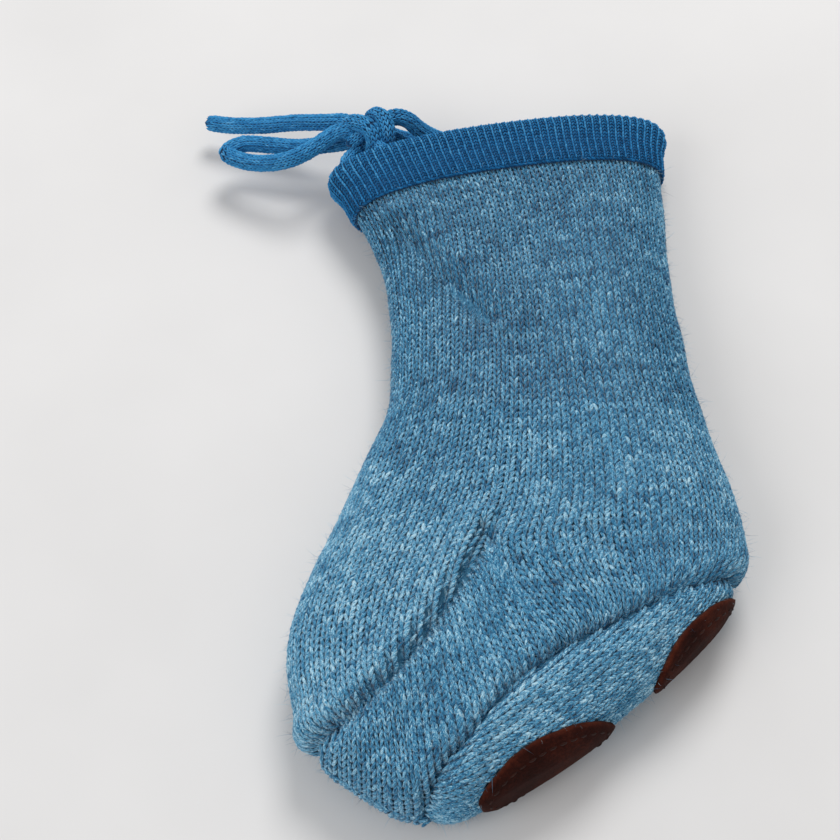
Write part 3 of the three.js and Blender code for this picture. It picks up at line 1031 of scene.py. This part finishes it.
def knit_bare_places():
    """Single stitches where the wales and the seams leave the fabric bare."""
    placed = [np.concatenate(stitch_places)[:, :3], *seam_places]
    p, n, share, angle = bare_places(np.concatenate(placed))
    ahead, _ = knit_point(np.minimum(share + 0.006, 0.998), angle)
    behind, _ = knit_point(share - 0.006, angle)
    t = unit(ahead - behind)
    across = unit(np.cross(t, n))
    on_foot = np.where(instep_side(p[:, :2]) > 0, INSTEP, HEEL_AND_SIDE)
    panel = np.where(sole_side(p[:, :2]) > 0, SOLE, np.where(share < LEG_END, LEG, on_foot))
    for index, key in enumerate(PANELS):
        here = panel == index
        many = int(here.sum())
        yarns[key].stitches(
            p[here], across[here], t[here], n[here], np.full(many, 2.0), ROW,
            0.5 + PANEL_TONE_AND_SHADE[key] + rng.normal(0, 0.05, many),
        )
    stitch_places.append(np.concatenate([p, n], 1))


knit_bare_places()


def bending(obj, *nodes):
    """A wool piece that stands for CAD nodes, which are hidden; its transform is baked into its
    mesh.
    """
    if nodes:
        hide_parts(*nodes)
    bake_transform(obj)
    return obj


shell = fabric_shell()
shell.data.materials.append(wool_felt)
bending(shell)
for key in PANELS:
    obj = yarns[key].mesh(key + "_stitches")
    obj.data.materials.append(wool)
    bending(obj, key + "_knit")


# ---- the casing ------------------------------------------------------------------------
WALL = 2.4
BAND_BELOW = 9.8
FOLD_RADIUS, FOLD_WALL, FOLD_CENTRE = 4.4, 1.5, 2.7
LIP = WALL / 2 + 0.4
MID = -WALL / 2  # the middle of the fabric under the band, along n
OUTSIDE, INSIDE = MID + LIP + FOLD_WALL, MID - LIP - FOLD_WALL
RIBS, RIB_ROW = 92, 1.0
HEM_STITCH = 1.3


def cuff_frames(angles):
    """The cuff's edge, its normal n and the way d out of the tube there."""
    at = surface(0.0, angles)
    n = normal(np.zeros_like(angles), angles)
    out = unit(at - surface(0.02, angles))
    return at, n, out


def cuff_points(angles, nd):
    """Points round the cuff from (n, d) pairs: an array of angles by pairs by 3."""
    at, n, out = cuff_frames(angles)
    nd = np.asarray(nd, float)
    return at[:, None] + n[:, None] * nd[None, :, :1] + out[:, None] * nd[None, :, 1:2]


def fold_arc(radius, start, end, steps):
    """The round fold over the drawstring, as (n, d) pairs."""
    turn = np.linspace(start, end, steps)
    return np.stack([MID + radius * np.cos(turn), FOLD_CENTRE + radius * np.sin(turn)], -1)


def casing_profile():
    """The closed section of the band's fabric, just inside its ribs."""
    return np.concatenate(
        [
            [(MID + LIP, -BAND_BELOW), (MID + LIP + 0.55, -BAND_BELOW - 0.25)],
            [(OUTSIDE - 0.42, -BAND_BELOW + 0.1), (OUTSIDE - 0.3, -6.5), (OUTSIDE - 0.3, -3.2)],
            fold_arc(FOLD_RADIUS - 0.42, -0.34, math.pi + 0.34, 15),
            [(INSIDE + 0.4, -3.2), (INSIDE + 0.42, -BAND_BELOW)],
            [(MID - LIP, -BAND_BELOW), (MID - LIP, 0.4)],
            fold_arc(FOLD_RADIUS - FOLD_WALL, math.pi + 0.3, -0.3, 9),
            [(MID + LIP, 0.4)],
        ]
    )


def rib_line():
    """The ribs' way over the band, from its outer hem to its inner one."""
    hem = -BAND_BELOW + 0.3
    outline = np.concatenate(
        [
            [(OUTSIDE - 0.2, hem), (OUTSIDE - 0.15, -3.0)],
            fold_arc(FOLD_RADIUS - 0.2, -0.3, math.pi + 0.3, 20),
            [(INSIDE + 0.1, -3.0), (INSIDE + 0.1, hem)],
        ]
    )
    run = run_along(outline)
    return read_at(np.arange(0.4, run[-1], RIB_ROW), run, outline)


def mouth_angles(count):
    """Angles round the mouth at even lengths."""
    dense = np.linspace(0, 2 * np.pi, 2000)
    run = run_along(surface(0.0, dense))
    return np.interp(np.arange(count) / count * run[-1], run, dense), run[-1]


def casing_core():
    """The band's fabric, and how long the mouth is round its edge."""
    profile = casing_profile()
    angles, mouth_length = mouth_angles(180)
    vertices = cuff_points(angles, profile).reshape(-1, 3)
    vertices[:, 2] = np.maximum(vertices[:, 2], 0.3)
    faces = [tube_faces(len(angles), len(profile), closed_rings=True)]
    return make_mesh("casing_fabric", vertices, faces), mouth_length


def knit_ribs(ribs, hollows):
    """Each rib is a row of pale legs, with two rows of darker ones in the hollow beside it; their
    darkness is painted shade.
    """
    angles, _ = mouth_angles(RIBS)
    nd = rib_line()
    slope = unit(np.gradient(nd, axis=0))
    _, n, out = cuff_frames(angles)
    centre = cuff_points(angles, nd)
    along = n[:, None] * slope[None, :, :1] + out[:, None] * slope[None, :, 1:2]
    outward = unit(n[:, None] * slope[None, :, 1:2] - out[:, None] * slope[None, :, :1])
    across = unit(np.cross(along, outward))
    spacing = np.linalg.norm(np.roll(centre, -1, 0) - np.roll(centre, 1, 0), axis=-1) / 2
    step = spacing.ravel()
    centre, across, along, outward = (v.reshape(-1, 3) for v in (centre, across, along, outward))
    # Painted light and shade: the band's yarn is lighter towards the top of the fold and darker
    # towards the hem.
    painted_light_by_height = np.tile(0.2 * step_up(nd[:, 1], -8.0, 4.0) - 0.1, RIBS)

    def row(yarn, aside, height, lean, half_t, lift, radius_b, radius_n, tone):
        yarn.add(
            centre + across * (aside * step)[:, None] + outward * height, across, along, outward,
            lean * step, half_t * RIB_ROW, lift, radius_b * step, radius_n,
            np.clip(tone + painted_light_by_height + rng.normal(0, 0.08, len(step)), 0, 1),
        )

    row(ribs, -0.3, 0.06, 0.03, 0.66, 0.06, 0.15, 0.36, 0.62)
    # Painted shade: the legs in the hollows get darker tones than the ribs.
    row(hollows, 0.08, -0.2, 0.15, 0.5, 0.2, 0.115, 0.26, 0.5)
    row(hollows, 0.38, -0.2, -0.15, 0.5, 0.2, 0.115, 0.26, 0.34)


def knit_hem(ribs, mouth_length):
    """Slanting stitches along the band's outer hem, in darker yarn as painted shade at the hem."""
    angles, _ = mouth_angles(int(mouth_length / HEM_STITCH))
    hem = cuff_points(angles, [(MID + LIP + FOLD_WALL * 0.62, -BAND_BELOW - 0.1)])[:, 0]
    _, n, out = cuff_frames(angles)
    t = unit(np.roll(hem, -1, 0) - np.roll(hem, 1, 0))
    shade = np.clip(0.3 + rng.normal(0, 0.12, len(hem)), 0, 1)
    ribs.add(hem, out, t, n, 0.32, 0.85, 0.15, 0.42, 0.4, shade)


def casing():
    core, mouth_length = casing_core()
    ribs, hollows = Yarn(sides=4), Yarn(sides=4)
    knit_ribs(ribs, hollows)
    knit_hem(ribs, mouth_length)
    band = joined(core, ribs.mesh("rib_grains"), blue_felt, blue)
    band.name = "ribbed_casing"
    hollow_legs = hollows.mesh("rib_hollows")
    hollow_legs.data.materials.append(blue)
    for piece in (band, hollow_legs):
        declare(piece, "cuff_casing", "leg")


casing()


# ---- the drawstring inside the casing and the knot --------------------------------------
EYELETS = (2.75, 2.3)  # the angles where the cord leaves the casing
CHANNEL_ENDS = EYELETS[0] + 0.07, EYELETS[0] + 2 * math.pi - 0.52
CHANNEL_ROOM = FOLD_CENTRE + FOLD_RADIUS + 0.6
INTO_KNOT = 4.0
BOW_AXIS = unit(np.array([13.0, 6.5, -1.0]))
KNOT_TOP = np.array([0.12, -0.35, 1.0])
WRAP_UP = unit(KNOT_TOP - BOW_AXIS * (KNOT_TOP @ BOW_AXIS))
WRAP_SIDE = np.cross(BOW_AXIS, WRAP_UP)
# The strands of the knot by radius and route: along the bow, up and to the side of it.
KNOT_STRANDS = {
    "knot_tuck": (2.2, [
        (1.2, -1.5, 4.0), (2.6, 2.4, 4.4), (3.8, 5.2, 2.0), (4.2, 5.4, -1.6), (3.6, 2.6, -4.2),
        (2.6, -1.2, -4.4),
    ]),
    "knot_through": (2.1, [
        (-6.4, 0.6, 0.6), (-3.5, 1.6, -0.4), (0, 1.9, -1.2), (3.5, 1.6, -1.4), (6.2, 0.6, -0.6),
    ]),
    "knot_under": (2.1, [
        (-6.0, -2.2, 1.6), (-3.0, -1.6, 1.9), (0, -1.2, 1.9), (3.2, -1.8, 1.6), (5.8, -2.6, 1.2),
    ]),
}


def in_fold(angle, d):
    return cuff_points(np.atleast_1d(angle), [(MID, d)])[:, 0]


def into_knot(p):
    return KNOT + unit(p - KNOT) * INTO_KNOT


def channel_cord():
    """The cord from the knot into one eyelet, round the cuff and out of the other."""
    round_cuff = in_fold(np.linspace(*CHANNEL_ENDS, 60), FOLD_CENTRE)
    first, last = (in_fold(eyelet, CHANNEL_ROOM)[0] for eyelet in EYELETS)
    points = [into_knot(first), first, *round_cuff, last, into_knot(last)]
    cord, _, _ = knit_tube("drawstring_in_channel", points, radius=1.5, row=1.2, columns=7)
    declare(cord, "drawstring_in_casing", "leg")


def knot_route(offsets):
    return [KNOT + BOW_AXIS * x + WRAP_UP * u + WRAP_SIDE * w for x, u, w in offsets]


def knot():
    """A turn of cord round the bow's middle, with three strands through and under it."""
    wrap = [
        (1.5 * math.sin(t) - 1.2 + 0.8 * math.cos(2 * t), 5.0 * math.cos(t), 4.7 * math.sin(t))
        for t in np.linspace(0, 2 * math.pi, 25)
    ]
    pieces = [knit_tube("knot_wrap", knot_route(wrap), radius=2.35, row=1.1, closed=True)[0]]
    for name, (radius, offsets) in KNOT_STRANDS.items():
        pieces.append(knit_tube(name, knot_route(offsets), radius=radius, row=1.1)[0])
    for piece in pieces:
        declare(piece, "bow_knot", "leg")


channel_cord()
knot()


# ---- the leather patches ----------------------------------------------------------------
LEATHER_NEAR, LEATHER_FAR, TREAD_WEAR = 0.4, 1.7, 0.5
SEWING_INSET, SEWING_STITCH, SEWING_SUNK = 2.2, 2.6, 0.04


def smooth_surface(rows=200, sides=160):
    """The plain surface without creases, for casting the patches on."""
    shares, angles = np.linspace(0, 0.995, rows), np.linspace(0, 2 * np.pi, sides, endpoint=False)
    points = surface(*np.meshgrid(shares, angles, indexing="ij")).reshape(-1, 3)
    return BVHTree.FromPolygons(points.tolist(), tube_faces(rows, sides).tolist())


smooth_tree = smooth_surface()


def leather_points(patch, u, v):
    """Where the patch's own (u, v) falls on the fabric, and the way out of it there."""
    side, up, out = patch_frames(patch)
    at = np.array([*patch["at"], SOLE_MIDDLE])
    hits, normals = [], []
    for a, b in zip(u.ravel(), v.ravel()):
        origin = at + side * a + up * b + out * 30
        hit, n, _, _ = smooth_tree.ray_cast(Vector(origin), Vector(-out), 60)
        if hit is None:
            hit, n, _, _ = smooth_tree.find_nearest(Vector(at + side * a + up * b))
        n = np.array(n)
        hits.append(hit)
        normals.append(n if n @ out > 0 else -n)
    return np.array(hits), np.array(normals), out


def ellipse_places(patch, steps=1200):
    """The sewn line of a patch as (u, v), at even lengths."""
    turn = np.linspace(0, 2 * np.pi, steps)
    half = np.array([patch["length"], patch["width"]]) / 2 - SEWING_INSET
    ring = half * np.stack([np.cos(turn), np.sin(turn)], -1)
    run = run_along(ring)
    count = int(run[-1] / SEWING_STITCH)
    return read_at((np.arange(count) + 0.5) * run[-1] / count, run, ring).T


def leather_sheet(name, patch, rings=16, sides=72):
    """The tread, worn flat; returns how far out its flat face is."""
    turn = 2 * np.pi * np.arange(sides) / sides
    uneven = 1 + 0.006 * np.sin(7 * turn + 1) + 0.005 * np.sin(13 * turn)
    r, turn = np.meshgrid(np.linspace(0, 1, rings + 1)[1:], turn, indexing="ij")
    u = np.concatenate([[0.0], (patch["length"] / 2 * r * np.cos(turn) * uneven).ravel()])
    v = np.concatenate([[0.0], (patch["width"] / 2 * r * np.sin(turn) * uneven).ravel()])
    at, n, out = leather_points(patch, u, v)
    edge = np.concatenate([[0.0], r.ravel()])
    round_off = 0.35 * step_up(edge, 0.93, 1.0)
    top = at + n * (LEATHER_FAR - round_off)[:, None]
    height = top @ out
    limit = height.max() - TREAD_WEAR
    top -= out * np.maximum(height - limit, 0)[:, None]
    top[:, 2] = np.maximum(top[:, 2], TABLE_GAP)
    count = len(top)
    vertices = np.concatenate([top, at + n * LEATHER_NEAR])
    quads = tube_faces(rings, sides, offset=1)
    j = count - sides + np.arange(sides)
    k = np.roll(j, -1)
    faces = [
        fan(1, sides, 0),
        quads[:, ::-1],
        np.stack([j, count + j, count + k, k], -1),
        fan(1 + count, sides, count, flip=True),
        quads + count,
    ]
    rim = np.tile(step_up(edge, 0.95, 1.0), 2)
    obj = make_mesh(name + "_leather", vertices, faces, {"rim": rim})
    obj.data.materials.append(suede)
    declare(obj, name, "foot")
    return limit


def sewn_line(name, patch, limit):
    """Stitches of thread inside the patch's edge, where the patch faces out."""
    p, n, out = leather_points(patch, *ellipse_places(patch))
    p = p + n * (LEATHER_FAR - SEWING_SUNK)
    p -= out * np.maximum(p @ out - limit + SEWING_SUNK, 0)[:, None]
    t = unit(np.roll(p, -1, 0) - np.roll(p, 1, 0))
    seen = n @ out > 0.5
    p, n, t = p[seen], n[seen], t[seen]
    sewing = Yarn()
    shade = np.clip(0.5 + rng.normal(0, 0.1, len(p)), 0, 1)
    sewing.add(p, unit(np.cross(t, n)), t, n, 0.06, 0.9, 0.1, 0.3, 0.24, shade)
    obj = sewing.mesh(name + "_stitching")
    obj.data.materials.append(thread)
    declare(obj, name + "_thread", "foot")


for patch_name, patch in PATCHES.items():
    sewn_line(patch_name, patch, leather_sheet(patch_name, patch))


# ---- loose fibres ------------------------------------------------------------------------
HAIRS, HAIR_LENGTH, HAIR_RADIUS = 18000, 3.6, 0.032


def fibres(name, places, normals):
    """Fine curved hairs standing off the knit, each a closed three-sided tube."""
    count = len(places)
    lean = unit(normals + 0.85 * rng.normal(0, 1, (count, 3)))
    bend = 0.6 * rng.normal(0, 1, (count, 3))
    size = HAIR_LENGTH * rng.uniform(0.3, 1.0, count) ** 1.6
    path = [
        places + lean * (size * t)[:, None] + bend * (size * t * t * 0.5)[:, None]
        for t in (0.0, 0.35, 0.7, 1.0)
    ]
    side = unit(np.cross(lean, normals + 0.01))
    over = np.cross(lean, side)
    vertices = []
    for i, middle in enumerate(path[:3]):
        r = HAIR_RADIUS * (1 - 0.25 * i)
        for k in range(3):
            a = 2 * math.pi * k / 3
            vertices.append(middle + side * (r * math.cos(a)) + over * (r * math.sin(a)))
    vertices.append(path[3])
    vertices = np.stack(vertices, 1)
    per = vertices.shape[1]
    base = (np.arange(count) * per)[:, None, None]
    quads = (tube_faces(3, 3)[None] + base).reshape(-1, 4)
    caps = np.array([(2, 1, 0), (6, 7, 9), (7, 8, 9), (8, 6, 9)])
    tris = (caps[None] + base).reshape(-1, 3)
    flat_vertices = vertices.reshape(-1, 3)
    flat_vertices[:, 2] = np.maximum(flat_vertices[:, 2], TABLE_GAP / 2)
    shade = np.repeat(rng.uniform(0.45, 1.0, count), per)
    local = np.repeat(rng.uniform(0, 50, (count, 3)), per, axis=0)
    return make_mesh(name, flat_vertices, [quads, tris], {"heather": shade, "yarn": local})


every = np.concatenate(stitch_places)
pick = rng.choice(len(every), HAIRS, replace=True)
spots, spot_normals = every[pick, :3], every[pick, 3:]
spots = spots + spot_normals * 0.3 + rng.uniform(-0.9, 0.9, spots.shape)
on_leg = spots[:, 1] > 5
for name, part in (("leg_fibres", on_leg), ("foot_fibres", ~on_leg)):
    hairs = fibres(name, spots[part], spot_normals[part])
    hairs.data.materials.append(wool)
    bending(hairs)

# ---- floor and light ---------------------------------------------------------------------
bpy.ops.mesh.primitive_plane_add(size=4, location=(0, 0, -0.0002))
floor = bpy.context.object
floor.name = "floor"
ground = Nodes("pale_floor")
ground_noise = ground.noise(ground.new("ShaderNodeNewGeometry").outputs["Position"], 14.0, 3.0)
ground.link(
    ground.ramp(ground_noise, [(0.35, srgb(217, 216, 216)), (0.7, srgb(222, 221, 221))]),
    "Base Color",
)
ground.set(Roughness=0.7, Specular_IOR_Level=0.3)
floor.data.materials.append(ground.material)

world = bpy.data.worlds.new("studio")
bpy.context.scene.world = world
world.use_nodes = True
world.node_tree.nodes["Background"].inputs["Color"].default_value = srgb(242, 242, 242)
world.node_tree.nodes["Background"].inputs["Strength"].default_value = 0.56


def softbox(name, at, size, power, colour=(1, 1, 1)):
    """A round area light turned towards the origin."""
    data = bpy.data.lights.new(name, "AREA")
    data.shape = "DISK"
    data.size = size
    data.energy = power
    data.color = colour
    obj = bpy.data.objects.new(name, data)
    obj.location = at
    obj.rotation_euler = (-Vector(at)).to_track_quat("-Z", "Y").to_euler()
    bpy.context.collection.objects.link(obj)


softbox("key", (0.15, 0.7, 0.95), 0.55, 7.6, (1.0, 0.995, 0.98))
softbox("fill", (-0.8, -0.6, 0.8), 0.9, 5.8)
bpy.context.scene.view_settings.view_transform = "Standard"
